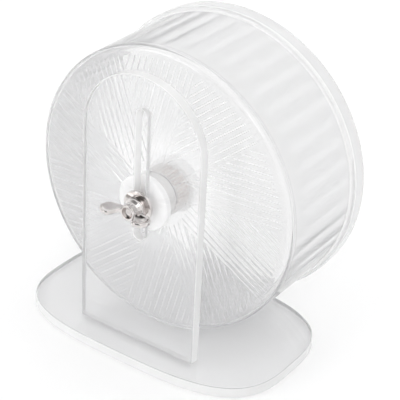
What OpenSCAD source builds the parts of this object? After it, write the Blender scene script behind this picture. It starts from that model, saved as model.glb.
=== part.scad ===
// Hamster wheel on a clear stand: a one-piece clear drum turns on two ball bearings that sit on a
// bolt, and a wing nut clamps the bolt at any height in the slot of the upright plate.
// Millimetres. The origin is the centre of the base plate's underside, +Z is up and +Y runs along
// the axle, from the upright plate towards the open end of the drum.

/* [Base plate] */
// Width of the base plate, across the axle
base_w = 161; // [130:1:220]
// Depth of the base plate, along the axle
base_d = 101; // [84:1:150]
// Thickness of the base plate
base_t = 6; // [3:0.5:10]
// How square the outline is: 2 is an ellipse, more is squarer
base_squareness = 3.2; // [2:0.1:6]

/* [Upright plate] */
// Width of the upright plate, which is also the diameter of its round top
upright_w = 76.6; // [50:0.2:110]
// Thickness of the upright plate
upright_t = 6; // [3:0.5:10]
// Height of the round top above the axle at rest
upright_rise = 74.5; // [62:0.5:110]
// Distance from the front edge of the base plate to the front of the upright plate
upright_setback = 16; // [10:0.5:30]
// Distance from the axle at rest to the centre of the slot's upper end
slot_up = 52.5; // [10:0.5:55]
// Distance from the axle at rest to the centre of the slot's lower end
slot_down = 17.5; // [4:0.5:60]

/* [Drum] */
// Outside diameter of the drum
drum_d = 164; // [120:1:220]
// Depth of the drum, from the closed disc's face to the open rim
drum_depth = 70; // [40:1:110]
// Thickness of the closed disc
disc_t = 2.5; // [1.5:0.1:4]
// Thickness of the drum's wall
wall_t = 2; // [1.2:0.1:4]
// Radius of the round edge between disc and wall
edge_r = 3.5; // [2.5:0.1:6]
// How far the lip at the open rim stands out of the wall
lip_out = 2.5; // [1:0.1:6]
// Depth of the lip along the axle
lip_w = 10; // [6:0.5:20]
// Number of running ribs inside the wall
rib_count = 45; // [12:1:72]
// Height of a running rib
rib_h = 1; // [0.4:0.1:3]
// Width of a running rib
rib_w = 2; // [1:0.1:5]

/* [Hub] */
// Wall of the clear hub sleeve round a bearing
sleeve_wall = 2.5; // [1.5:0.1:5]
// Height of the step inside the sleeve that keeps the two bearings apart
sleeve_step = 1.5; // [0.8:0.1:2.5]
// Height of the teeth on the sleeve's collar
tooth_h = 1.6; // [0.6:0.1:3]
// Number of teeth on the sleeve's collar
tooth_count = 40; // [16:1:60]
// Depth of the toothed collar along the axle
collar_w = 10; // [4:0.5:14]
// Diameter of the white flange behind the upright plate
flange_d = 32; // [24:0.5:44]
// Thickness of the white flange
flange_t = 4; // [2:0.5:8]
// Diameter of the white cap over the bolt's head
cap_d = 32; // [26:0.5:44]
// Thickness of the cap's end wall
cap_wall = 2.5; // [1:0.1:4]
// Length of the cap's spigot inside the sleeve
spigot_len = 2.4; // [1.5:0.1:5]
// Wall of the cap's spigot
spigot_wall = 2.2; // [1:0.1:2.6]

/* [Bearings] */
// Outside diameter of a bearing
bearing_od = 19; // [17:0.5:20]
// Width of a bearing
bearing_w = 6; // [5.6:0.1:8]
// Diameter of a bearing ball
ball_d = 3.5; // [2.5:0.1:3.8]
// Number of balls in a bearing
ball_count = 7; // [5:1:8]
// Thickness of a bearing shield
shield_t = 0.3; // [0.2:0.05:0.5]

/* [Fasteners] */
// Diameter of the axle bolt
bolt_d = 6; // [4:0.5:8]
// How far the flats of the bolt's head stand out of the bolt
head_edge = 2; // [1:0.1:3]
// Height of the bolt's head
head_h = 4; // [3:0.5:5]
// Thickness of the spacing ring under the bolt's head
head_ring_t = 1; // [0.5:0.1:2]
// Diameter of the flat washer in front of the upright plate
washer_d = 18; // [14:0.5:24]
// Thickness of the flat washer
washer_t = 1.6; // [1:0.1:3]
// Width of the spring lock washer's section
lock_w = 2.9; // [1.5:0.1:4]
// Thickness of the spring lock washer
lock_t = 1.6; // [1:0.1:2.5]
// Wall of the wing nut at its open end
nut_wall = 1.6; // [1.4:0.1:3]
// How far the wing nut's base stands out of its body
nut_flare = 1.6; // [0.5:0.1:3]
// Height of the wing nut's body
nut_h = 7; // [6:0.5:12]
// Distance between the tips of the two wings
wing_span = 31; // [24:0.5:40]
// How far the wings reach past the nut's open end
wing_lead = 6; // [1:0.5:8]
// Radius of a wing's round tip
wing_tip_r = 3.6; // [2:0.1:5]
// Thickness of a wing
wing_t = 2.6; // [1.6:0.1:4]

/* [Clearances] */
// Distance from the upright plate to the drum's closed disc
wheel_gap = 12.6; // [12.5:0.1:20]
// Distance from the rim to the base plate at rest
rim_gap = 0.6; // [0.4:0.1:10]
// Distance from the fixed flange to the turning sleeve
hub_gap = 0.6; // [0.3:0.1:2]
// Distance from the toothed collar to the white cap
collar_gap = 1; // [0.3:0.1:4]
// Room for the bolt in the slot of the upright plate, over its diameter
slot_gap = 1; // [0.4:0.1:3]
// Room behind the bolt's head in the white cap
head_gap = 1.2; // [0.5:0.1:5]
// Depth of the bolt's end inside the wing nut's open end
tip_recess = 1.2; // [0:0.1:3]
// Gap between flat faces that slide on one another
slide_gap = 0.05; // [0.02:0.01:0.3]
// Radial clearance of round pieces that fit in one another
fit_gap = 0.03; // [0.01:0.01:0.1]
// Radial room between a bearing's rings and what turns between them
race_gap = 0.3; // [0.2:0.05:0.5]

/* [Hidden] */
$fn = 96;

// Over-run of a cut past the face that it opens.
cut = 1;
outline_points = 120;
arc_points = 24;
corner_points = 10;

// Colours of the materials, with how opaque the clear ones are.
clear_sheet = [0.86, 0.89, 0.91, 0.35];
clear_moulding = [0.9, 0.92, 0.93, 0.3];
white_plastic = [0.96, 0.96, 0.96];
nickel = [0.76, 0.73, 0.7];
steel = [0.66, 0.66, 0.68];

// Heights and places along the axle.
drum_r = drum_d / 2;
rim_r = drum_r + lip_out;
axle_z = base_t + rim_gap + rim_r;
upright_front = upright_setback - base_d / 2;
upright_back = upright_front + upright_t;
disc_face = upright_back + wheel_gap;
disc_inside = disc_face + disc_t;
rim_end = disc_face + drum_depth;
lip_start = rim_end - lip_w;
flange_front = upright_back + slide_gap;
flange_back = flange_front + flange_t;
sleeve_front = flange_back + hub_gap;
sleeve_back = disc_inside + collar_w + collar_gap;
front_bearing = sleeve_front + race_gap;
bearing_end = sleeve_back - spigot_len - fit_gap;
rear_bearing = bearing_end - bearing_w;
head_seat = bearing_end + head_ring_t;
cap_end = head_seat + head_h + head_gap + cap_wall;
washer_back = upright_front - slide_gap;
lock_back = washer_back - washer_t;
nut_back = lock_back - lock_t;
nut_front = nut_back - nut_h;
bolt_tip = nut_front + tip_recess;

// Bearing sections.
bolt_r = bolt_d / 2;
bore_r = bolt_r + fit_gap;
bearing_r = bearing_od / 2;
seat_r = bearing_r + fit_gap;
sleeve_r = seat_r + sleeve_wall;
pitch_r = (bore_r + bearing_r) / 2;
groove_r = ball_d / 2 + fit_gap;
groove_depth = ball_d / 7;
inner_land_r = pitch_r - groove_r + groove_depth;
outer_land_r = pitch_r + groove_r - groove_depth;
shield_r = outer_land_r + race_gap;
shield_inset = 0.15;
cage_half = bearing_w / 2 - shield_inset - shield_t - race_gap;

// Points of an arc about a centre, from one angle to another.
function arc(centre, radius, from, to, count) =
    [for (i = [0 : count]) centre + radius * [cos(from + (to - from) * i / count),
                                              sin(from + (to - from) * i / count)]];

// One coordinate of a superellipse: the share of the half-width at a cosine or sine.
function bulge(share) = sign(share) * pow(abs(share), 2 / base_squareness);

// Turns a shape about local Z into one about the axle, with local Z along the row's +Y.
module on_axle() {
    translate([0, 0, axle_z])
        rotate([-90, 0, 0])
            children();
}

// A ring about the axle, between two places along it.
module ring(outer, inner, from, to) {
    on_axle()
        translate([0, 0, from])
            difference() {
                cylinder(r = outer, h = to - from);
                translate([0, 0, -cut])
                    cylinder(r = inner, h = to - from + 2 * cut);
            }
}

// A solid of revolution about the axle from an outline of radius and place along the axle.
module turned(outline) {
    on_axle()
        rotate_extrude()
            polygon(outline);
}

// A plate that stands across the axle, from an outline of width and height above the base plate.
module standing_plate(outline, front, thickness) {
    translate([0, front + thickness, 0])
        rotate([90, 0, 0])
            linear_extrude(thickness)
                polygon(outline);
}

module base_plate() {
    outline = [for (i = [0 : outline_points - 1])
        let (angle = 360 * i / outline_points)
        [base_w / 2 * bulge(cos(angle)), base_d / 2 * bulge(sin(angle))]];
    color(clear_sheet)
        linear_extrude(base_t)
            polygon(outline);
}

module upright_plate() {
    half = upright_w / 2;
    top_centre = [0, axle_z + upright_rise - half];
    plate = concat([[-half, base_t], [half, base_t]], arc(top_centre, half, 0, 180, 2 * arc_points));
    slot_r = (bolt_d + slot_gap) / 2;
    slot = concat(arc([0, axle_z + slot_up], slot_r, 0, 180, arc_points),
                  arc([0, axle_z - slot_down], slot_r, 180, 360, arc_points));
    color(clear_sheet)
        difference() {
            standing_plate(plate, upright_front, upright_t);
            standing_plate(slot, upright_front - cut, upright_t + 2 * cut);
        }
}

// The drum is one moulding: closed disc, round edge, wall, stepped lip and running ribs.
module wheel_drum() {
    inside_r = drum_r - wall_t;
    lip_inside_r = rim_r - wall_t;
    inner_edge_r = edge_r - wall_t;
    rim_round = wall_t / 3;
    hole_r = sleeve_r + fit_gap;
    outer_edge = arc([drum_r - edge_r, disc_face + edge_r], edge_r, -90, 0, corner_points);
    inner_edge = arc([inside_r - inner_edge_r, disc_inside + inner_edge_r], inner_edge_r, 0, -90, corner_points);
    rim_outside = arc([rim_r - rim_round, rim_end - rim_round], rim_round, 0, 90, corner_points);
    rim_inside = arc([lip_inside_r + rim_round, rim_end - rim_round], rim_round, 90, 180, corner_points);
    outline = concat([[hole_r, disc_face]], outer_edge,
                     [[drum_r, lip_start - lip_out / 2], [rim_r, lip_start + lip_out / 2]],
                     rim_outside, rim_inside,
                     [[lip_inside_r, lip_start + wall_t], [inside_r, lip_start + wall_t]],
                     inner_edge, [[hole_r, disc_inside]]);
    rib_start = disc_face + disc_t / 2;
    rib_end = lip_start + wall_t / 2;
    color(clear_moulding) {
        turned(outline);
        on_axle()
            for (i = [0 : rib_count - 1])
                rotate([0, 0, 360 * i / rib_count])
                    translate([inside_r - rib_h, -rib_w / 2, rib_start])
                        cube([rib_h + wall_t / 2, rib_w, rib_end - rib_start]);
    }
}

// The sleeve goes in from inside the drum until its toothed collar meets the disc.
module hub_sleeve() {
    teeth = [for (i = [0 : 2 * tooth_count - 1])
        let (radius = sleeve_r + (i % 2 == 0 ? tooth_h : tooth_h / 2), angle = 180 * i / tooth_count)
        radius * [cos(angle), sin(angle)]];
    color(clear_moulding)
        on_axle()
            difference() {
                union() {
                    translate([0, 0, sleeve_front])
                        cylinder(r = sleeve_r, h = sleeve_back - sleeve_front);
                    translate([0, 0, disc_inside])
                        linear_extrude(collar_w)
                            polygon(teeth);
                }
                translate([0, 0, sleeve_front - cut])
                    cylinder(r = seat_r - sleeve_step, h = sleeve_back - sleeve_front + 2 * cut);
                translate([0, 0, sleeve_front - cut])
                    cylinder(r = seat_r, h = front_bearing + bearing_w - sleeve_front + cut);
                translate([0, 0, rear_bearing])
                    cylinder(r = seat_r, h = sleeve_back - rear_bearing + cut);
            }
}

// The white cap covers the bolt's head, and its spigot holds the rear bearing in the sleeve.
module hub_cap() {
    cap_r = cap_d / 2;
    cap_edge = cap_wall / 1.5;
    spigot_r = bearing_r - fit_gap;
    cavity_r = spigot_r - spigot_wall;
    spigot_end = bearing_end + fit_gap;
    front_round = arc([cap_r - cap_edge, sleeve_back + cap_edge], cap_edge, -90, 0, corner_points);
    back_round = arc([cap_r - cap_edge, cap_end - cap_edge], cap_edge, 0, 90, corner_points);
    color(white_plastic)
        turned(concat([[cavity_r, spigot_end], [spigot_r, spigot_end], [spigot_r, sleeve_back]],
                      front_round, back_round,
                      [[0, cap_end], [0, cap_end - cap_wall], [cavity_r, cap_end - cap_wall]]));
}

// The white flange stands behind the upright plate, and its nose meets the front inner ring.
module flange_spacer() {
    flange_r = flange_d / 2;
    edge = flange_t / 4;
    nose_r = inner_land_r - race_gap / 2;
    front_round = arc([flange_r - edge, flange_front + edge], edge, -90, 0, corner_points);
    back_round = arc([flange_r - edge, flange_back - edge], edge, 0, 90, corner_points);
    color(white_plastic)
        turned(concat([[bore_r, flange_front]], front_round, back_round,
                      [[nose_r, flange_back], [nose_r, front_bearing], [bore_r, front_bearing]]));
}

module outer_ring(from) {
    recess = shield_inset + shield_t;
    color(steel)
        on_axle()
            translate([0, 0, from])
                rotate_extrude()
                    difference() {
                        polygon([[outer_land_r, recess], [shield_r, recess], [shield_r, 0], [bearing_r, 0],
                                 [bearing_r, bearing_w], [shield_r, bearing_w],
                                 [shield_r, bearing_w - recess], [outer_land_r, bearing_w - recess]]);
                        translate([pitch_r, bearing_w / 2])
                            circle(r = groove_r);
                    }
}

module inner_ring(from) {
    color(steel)
        on_axle()
            translate([0, 0, from])
                rotate_extrude()
                    difference() {
                        translate([bore_r, 0])
                            square([inner_land_r - bore_r, bearing_w]);
                        translate([pitch_r, bearing_w / 2])
                            circle(r = groove_r);
                    }
}

// Places its children at each ball of a bearing.
module at_balls(from) {
    on_axle()
        for (i = [0 : ball_count - 1])
            rotate([0, 0, 360 * i / ball_count])
                translate([pitch_r, 0, from + bearing_w / 2])
                    children();
}

module balls(from) {
    color(steel)
        at_balls(from)
            sphere(d = ball_d);
}

module cage(from) {
    middle = from + bearing_w / 2;
    color(nickel)
        difference() {
            ring(outer_land_r - race_gap, inner_land_r + race_gap, middle - cage_half, middle + cage_half);
            at_balls(from)
                rotate([0, 90, 0])
                    cylinder(r = groove_r + fit_gap, h = ball_d, center = true);
        }
}

module shield(from) {
    color(steel)
        ring(shield_r - fit_gap, inner_land_r + race_gap, from, from + shield_t);
}

// Places of a bearing's two shields, from its front face.
front_shield_place = shield_inset;
back_shield_place = bearing_w - shield_inset - shield_t;

module front_outer_ring() { outer_ring(front_bearing); }
module front_inner_ring() { inner_ring(front_bearing); }
module front_balls() { balls(front_bearing); }
module front_cage() { cage(front_bearing); }
module front_outer_shield() { shield(front_bearing + front_shield_place); }
module front_inner_shield() { shield(front_bearing + back_shield_place); }
module rear_outer_ring() { outer_ring(rear_bearing); }
module rear_inner_ring() { inner_ring(rear_bearing); }
module rear_balls() { balls(rear_bearing); }
module rear_cage() { cage(rear_bearing); }
module rear_outer_shield() { shield(rear_bearing + back_shield_place); }
module rear_inner_shield() { shield(rear_bearing + front_shield_place); }

module inner_ring_spacer() {
    color(steel)
        ring(inner_land_r - race_gap / 2, bore_r, front_bearing + bearing_w, rear_bearing);
}

module bolt_head_ring() {
    color(steel)
        ring(inner_land_r - race_gap / 2, bore_r, bearing_end, head_seat);
}

module axle_bolt() {
    tip_chamfer = bolt_d / 8;
    color(nickel) {
        turned([[0, bolt_tip], [bolt_r - tip_chamfer, bolt_tip], [bolt_r, bolt_tip + tip_chamfer],
                [bolt_r, head_seat + head_h / 2], [0, head_seat + head_h / 2]]);
        on_axle()
            translate([0, 0, head_seat])
                cylinder(d = (bolt_d + 2 * head_edge) / cos(30), h = head_h, $fn = 6);
    }
}

module flat_washer() {
    washer_r = washer_d / 2;
    edge = washer_t / 4;
    color(nickel)
        turned([[bore_r, lock_back], [washer_r - edge, lock_back], [washer_r, lock_back + edge],
                [washer_r, washer_back], [bore_r, washer_back]]);
}

// A split ring with a slanted cut.
module lock_washer() {
    lock_r = bore_r + lock_w;
    split_w = lock_t / 2;
    slant = 30;
    color(nickel)
        difference() {
            ring(lock_r, bore_r, nut_back, lock_back);
            on_axle()
                translate([0, -(bore_r + lock_r) / 2, (nut_back + lock_back) / 2])
                    rotate([0, slant, 0])
                        cube([split_w, 2 * lock_w, 4 * lock_t], center = true);
        }
}

// The wings lie level, and lean forward past the nut's open end.
module wing_nut() {
    top_r = bolt_r + nut_wall;
    base_r = top_r + nut_flare;
    skirt = nut_h / 4;
    rim = nut_h / 12;
    tip_centre = [wing_span / 2 - wing_tip_r, nut_front - wing_lead + wing_tip_r];
    root_x = bore_r + (top_r - bore_r) / 2;
    wing = concat(arc(tip_centre, wing_tip_r, -115, 65, arc_points),
                  [[root_x, nut_back - skirt], [root_x, nut_front + skirt]]);
    body = [[bore_r + rim, nut_front], [top_r - rim, nut_front], [top_r, nut_front + rim],
            [top_r, nut_back - 2 * skirt], [base_r, nut_back - skirt], [base_r, nut_back],
            [bore_r, nut_back], [bore_r, nut_front + rim]];
    color(nickel) {
        turned(body);
        on_axle()
            for (side = [0, 1])
                mirror([side, 0, 0])
                    rotate([90, 0, 0])
                        linear_extrude(wing_t, center = true)
                            polygon(wing);
    }
}

base_plate();
upright_plate();
wheel_drum();
hub_sleeve();
hub_cap();
flange_spacer();
front_outer_ring();
front_inner_ring();
front_balls();
front_cage();
front_outer_shield();
front_inner_shield();
rear_outer_ring();
rear_inner_ring();
rear_balls();
rear_cage();
rear_outer_shield();
rear_inner_shield();
inner_ring_spacer();
bolt_head_ring();
axle_bolt();
flat_washer();
lock_washer();
wing_nut();
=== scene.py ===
"""Looks of a clear running wheel for small pets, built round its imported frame.

A ridged clear drum turns on a hub with two ball bearings. A bolt carries the hub in the slot of a
clear upright, and a wing nut in front of the upright clamps the bolt at any height. Metres, in the
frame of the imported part: the origin is under the middle of the base plate, +Z is up and +Y runs
along the axle, from the upright towards the open end of the drum.
"""

from __future__ import annotations

import logging
import math
from dataclasses import dataclass, field
from enum import Enum
from typing import Callable, Mapping, Sequence, Union

import bmesh
import bpy
from mathutils import Matrix, Vector

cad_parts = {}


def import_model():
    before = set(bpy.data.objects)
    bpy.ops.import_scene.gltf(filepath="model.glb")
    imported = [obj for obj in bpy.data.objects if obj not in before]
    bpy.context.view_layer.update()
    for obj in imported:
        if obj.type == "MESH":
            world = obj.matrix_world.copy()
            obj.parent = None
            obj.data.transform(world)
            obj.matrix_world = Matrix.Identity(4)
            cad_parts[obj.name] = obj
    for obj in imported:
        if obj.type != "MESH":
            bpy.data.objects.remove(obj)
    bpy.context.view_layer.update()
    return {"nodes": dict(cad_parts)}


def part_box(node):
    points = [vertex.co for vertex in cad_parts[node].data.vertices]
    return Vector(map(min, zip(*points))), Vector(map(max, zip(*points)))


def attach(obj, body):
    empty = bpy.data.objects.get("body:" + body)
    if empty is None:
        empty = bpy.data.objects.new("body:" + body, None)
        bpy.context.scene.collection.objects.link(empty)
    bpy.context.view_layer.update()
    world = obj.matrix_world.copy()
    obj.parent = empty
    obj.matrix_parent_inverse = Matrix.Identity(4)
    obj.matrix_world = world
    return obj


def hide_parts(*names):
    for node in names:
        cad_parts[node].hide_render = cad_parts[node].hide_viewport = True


log = logging.getLogger("running_wheel")

Point = tuple[float, float]
Colour = tuple[float, float, float]
Piece = bpy.types.Object
Socket = bpy.types.NodeSocket
Value = Union[Socket, float, Sequence[float]]
Feeds = Mapping[Union[str, int], Value]

MERGE_DISTANCE = 0.000002
SPECK = 0.0001
LEVEL_NORMAL = 0.999
WHITE_LIGHT = (1.0, 1.0, 1.0, 1.0)


class Body(Enum):
    """Bodies of the frame that a piece can ride on."""

    STAND = "stand"
    AXLE = "axle"
    WHEEL = "wheel"
    NUT_SEAT = "nut_seat"
    NUT = "nut"


class Slot(Enum):
    """Material slots of the record."""

    SHEET = "clear_sheet"
    MOULDING = "clear_moulding"
    WHITE = "white_plastic"
    NICKEL = "nickel_plate"


class Joinery(Enum):
    """Ways in which one solid is worked into another."""

    ADD = "UNION"
    CUT = "DIFFERENCE"
    KEEP_COMMON = "INTERSECT"


class Pick(Enum):
    """What is picked on a mesh."""

    POINTS = "VERT"
    EDGES = "EDGE"
    FACES = "FACE"


class Axis(Enum):
    """Axes of the frame."""

    X = "X"
    Y = "Y"
    Z = "Z"


def arc(centre: Point, radius: float, start: float, end: float, count: int) -> list[Point]:
    """Finds points on an arc of an outline.

    Args:
        centre: Centre of the arc in the outline's plane.
        radius: Radius of the arc.
        start: First angle, in degrees.
        end: Last angle, in degrees.
        count: Number of steps from the first point to the last.

    Returns:
        The points of the arc, both ends included.
    """
    angles = [math.radians(start + (end - start) * step / count) for step in range(count + 1)]
    return [(centre[0] + radius * math.cos(turn), centre[1] + radius * math.sin(turn)) for turn in angles]


def ease(share: float) -> float:
    """Eases a share from 0 to 1, and holds it there outside that range."""
    share = min(1.0, max(0.0, share))
    return share * share * (3.0 - 2.0 * share)


@dataclass(frozen=True)
class Extent:
    """Lowest and highest corner of a node of the frame."""

    low: Vector
    high: Vector

    @classmethod
    def of(cls, node: str) -> Extent:
        """Reads a node's corners from the frame."""
        low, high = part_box(node)
        return cls(low, high)

    @property
    def radius(self) -> float:
        """Half the width across the axle."""
        return (self.high.x - self.low.x) / 2.0


@dataclass(frozen=True)
class Axle:
    """The line that the wheel turns on."""

    height: float

    @property
    def centre(self) -> Vector:
        """A point on the axle, above the middle of the base plate."""
        return Vector((0.0, 0.0, self.height))

    def point(self, radius: float, along: float, turn: float = 0.0) -> Vector:
        """Finds the point at a radius, a place along the axle and an angle up from +X."""
        return self.centre + Vector((radius * math.cos(turn), along, radius * math.sin(turn)))

    def outline(self, points: Sequence[Point]) -> list[Vector]:
        """Lays an outline of radius and place along the axle in the plane of +X."""
        return [self.point(radius, along) for radius, along in points]

    def polar(self, place: Vector) -> tuple[float, float, float]:
        """Reads a point's radius, place along the axle and angle up from +X."""
        across, up = place.x, place.z - self.height
        return math.hypot(across, up), place.y, math.atan2(up, across)


class Workbench:
    """Modelling steps that the sub-assemblies share."""

    TURN_AXIS = (0.0, 1.0, 0.0)

    @staticmethod
    def lay_down_all() -> None:
        """Deselects every object, so that the next step acts on one piece alone."""
        bpy.ops.object.select_all(action="DESELECT")

    @staticmethod
    def take_up(piece: Piece) -> None:
        """Makes a piece the only selected one, and the active one.

        Args:
            piece: The piece.
        """
        Workbench.lay_down_all()
        piece.select_set(True)
        bpy.context.view_layer.objects.active = piece

    @staticmethod
    def open_up() -> None:
        """Goes into the edit mode of the active piece."""
        bpy.ops.object.mode_set(mode="EDIT")

    @staticmethod
    def put_down() -> None:
        """Goes back to object mode."""
        bpy.ops.object.mode_set(mode="OBJECT")

    @staticmethod
    def pick_all() -> None:
        """Selects the whole mesh."""
        bpy.ops.mesh.select_all(action="SELECT")

    @staticmethod
    def pick_none(kind: Pick) -> None:
        """Deselects the whole mesh, and sets what is picked next."""
        bpy.ops.mesh.select_mode(type=kind.value)
        bpy.ops.mesh.select_all(action="DESELECT")

    @staticmethod
    def extrude(way: Vector) -> None:
        """Extrudes what is selected."""
        bpy.ops.mesh.extrude_region_move(TRANSFORM_OT_translate={"value": way})

    @staticmethod
    def merge_doubles() -> None:
        """Merges the selected points that lie in one place."""
        bpy.ops.mesh.remove_doubles(threshold=MERGE_DISTANCE)

    @staticmethod
    def name_new(name: str) -> Piece:
        """Names the object that was just added and puts its place into its mesh.

        Args:
            name: The new name.

        Returns:
            The object.
        """
        piece = bpy.context.object
        piece.name = name
        piece.data.name = name
        bpy.ops.object.transform_apply(location=True, rotation=True, scale=True)
        return piece

    @staticmethod
    def draw(name: str, points: Sequence[Vector]) -> Piece:
        """Draws a line of edges, by extruding one vertex from point to point.

        Args:
            name: Name of the new piece.
            points: Places that the line runs through.

        Returns:
            The new piece, in edit mode, with its whole line selected.
        """
        Workbench.lay_down_all()
        bpy.ops.mesh.primitive_plane_add(size=SPECK, location=points[0])
        piece = Workbench.name_new(name)
        Workbench.open_up()
        bpy.ops.mesh.select_mode(type=Pick.POINTS.value)
        Workbench.pick_all()
        bpy.ops.mesh.merge(type="CENTER")
        for last, following in zip(points, points[1:]):
            Workbench.extrude(following - last)
        Workbench.pick_all()
        return piece

    @staticmethod
    def close_mesh(piece: Piece, smooth_angle: float = 35.0) -> Piece:
        """Merges doubles, turns faces outwards and smooths all but the sharp edges of a piece.

        Args:
            piece: The piece, in edit or in object mode.
            smooth_angle: Edges that turn more than this many degrees stay sharp.

        Returns:
            The same piece, in object mode.
        """
        if piece.mode != "EDIT":
            Workbench.take_up(piece)
            Workbench.open_up()
        Workbench.pick_all()
        Workbench.merge_doubles()
        bpy.ops.mesh.normals_make_consistent(inside=False)
        Workbench.put_down()
        Workbench.take_up(piece)
        bpy.ops.object.shade_smooth_by_angle(angle=math.radians(smooth_angle))
        return piece

    @staticmethod
    def spin(axle: Axle, steps: int, sweep: float = math.tau, copies: bool = False) -> None:
        """Spins what is selected about the axle, as a swept surface or as copies."""
        bpy.ops.mesh.spin(
            steps=steps, angle=sweep, dupli=copies, center=axle.centre, axis=Workbench.TURN_AXIS
        )

    @staticmethod
    def turned(name: str, axle: Axle, outline: Sequence[Point], steps: int) -> Piece:
        """Turns an outline of radius and place along the axle, as on a lathe.

        Args:
            name: Name of the new piece.
            axle: The line that the outline turns about.
            outline: Points of the section, closed or with both ends on the axle.
            steps: Number of steps round the axle.

        Returns:
            The turned piece, closed and smooth.
        """
        piece = Workbench.draw(name, axle.outline(outline))
        Workbench.spin(axle, steps)
        return Workbench.close_mesh(piece)

    @staticmethod
    def plate(name: str, outlines: Sequence[Sequence[Vector]], thickness: Vector) -> Piece:
        """Makes a flat plate with holes.

        Args:
            name: Name of the new piece.
            outlines: Closed lines in one plane, the outer edge first.
            thickness: The way and the distance that the flat face is extruded.

        Returns:
            The plate, closed, in object mode.
        """
        loops = []
        for number, outline in enumerate(outlines):
            loop = Workbench.draw(f"{name}_{number}", [*outline, outline[0]])
            Workbench.merge_doubles()
            Workbench.put_down()
            loops.append(loop)
        piece = Workbench.join(name, loops)
        Workbench.open_up()
        Workbench.pick_all()
        if len(loops) > 1:
            bpy.ops.mesh.fill()
        else:
            bpy.ops.mesh.edge_face_add()
        Workbench.pick_all()
        Workbench.extrude(thickness)
        return Workbench.close_mesh(piece)

    @staticmethod
    def join(name: str, pieces: Sequence[Piece]) -> Piece:
        """Joins pieces into the first one, under a new name.

        Args:
            name: The new name.
            pieces: The pieces.

        Returns:
            The first piece, which now holds them all.
        """
        Workbench.take_up(pieces[0])
        for piece in pieces[1:]:
            piece.select_set(True)
        if len(pieces) > 1:
            bpy.ops.object.join()
        pieces[0].name = name
        pieces[0].data.name = name
        return pieces[0]

    @staticmethod
    def round_edges(
        piece: Piece,
        radius: float,
        steps: int,
        wanted: Callable[[Vector], bool] = lambda middle: True,
        sharper_than: float = 50.0,
    ) -> Piece:
        """Rounds the sharp edges of a piece.

        Args:
            piece: The piece, in object mode.
            radius: Width of the rounding.
            steps: Number of steps across it.
            wanted: Test of an edge's middle.
            sharper_than: Least angle between an edge's faces, in degrees.

        Returns:
            The same piece, closed and smooth.
        """
        Workbench.take_up(piece)
        Workbench.open_up()
        Workbench.pick_none(Pick.EDGES)
        mesh = bmesh.from_edit_mesh(piece.data)
        least = math.radians(sharper_than)
        for edge in mesh.edges:
            middle = (edge.verts[0].co + edge.verts[1].co) / 2.0
            if len(edge.link_faces) == 2 and edge.calc_face_angle() > least and wanted(middle):
                edge.select_set(True)
        bmesh.update_edit_mesh(piece.data)
        bpy.ops.mesh.bevel(offset=radius, segments=steps, affect="EDGES")
        bpy.ops.mesh.select_mode(type=Pick.POINTS.value)
        return Workbench.close_mesh(piece)

    @staticmethod
    def apply(piece: Piece, modifier: bpy.types.Modifier) -> None:
        """Applies a modifier to its piece."""
        Workbench.take_up(piece)
        bpy.ops.object.modifier_apply(modifier=modifier.name)

    @staticmethod
    def work_in(piece: Piece, tool: Piece, way: Joinery) -> None:
        """Works a tool solid into a piece and removes the tool.

        Args:
            piece: The piece.
            tool: The solid that is added, cut away or kept in common.
            way: Which of these is done.
        """
        modifier = piece.modifiers.new("joinery", "BOOLEAN")
        modifier.operation = way.value
        modifier.solver = "EXACT"
        modifier.object = tool
        Workbench.apply(piece, modifier)
        bpy.data.objects.remove(tool)

    @staticmethod
    def shift(piece: Piece, moved: Callable[[Vector], Vector]) -> None:
        """Moves each vertex of a piece to where a rule puts it."""
        for vertex in piece.data.vertices:
            vertex.co = moved(vertex.co)


class Nodes:
    """Nodes of a material or of the room, under construction."""

    def __init__(self, tree: bpy.types.NodeTree) -> None:
        """Starts with an empty tree."""
        self.tree = tree
        self.tree.nodes.clear()

    def feed(self, socket: Socket, value: Value) -> None:
        """Links an input to a node's output, or sets it to a plain value.

        Args:
            socket: The input.
            value: The output or the plain value.
        """
        if isinstance(value, bpy.types.NodeSocket):
            self.tree.links.new(value, socket)
        else:
            socket.default_value = value

    def add(self, kind: str, feeds: Feeds | None = None, **settings: str) -> bpy.types.Node:
        """Adds a node.

        Args:
            kind: The node's type.
            feeds: What goes into its inputs, by their names or numbers.
            settings: The node's own choices.

        Returns:
            The node.
        """
        node = self.tree.nodes.new(kind)
        for name, choice in settings.items():
            setattr(node, name, choice)
        for key, value in (feeds or {}).items():
            self.feed(node.inputs[key], value)
        return node

    def ramp(
        self, source: Socket, start: float, end: float, low: float = 0.0, high: float = 1.0
    ) -> Socket:
        """Goes smoothly from low to high as a value goes from start to end, up or down."""
        feeds = {"Value": source, "From Min": start, "From Max": end, "To Min": low, "To Max": high}
        return self.add("ShaderNodeMapRange", feeds, interpolation_type="SMOOTHSTEP").outputs["Result"]

    def both(self, one: Socket, other: Socket) -> Socket:
        """Is high where two values are both high."""
        return self.add("ShaderNodeMath", {0: one, 1: other}, operation="MULTIPLY").outputs["Value"]

    def either(self, one: Socket, other: Socket) -> Socket:
        """Passes on the larger of two values."""
        return self.add("ShaderNodeMath", {0: one, 1: other}, operation="MAXIMUM").outputs["Value"]


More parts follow.
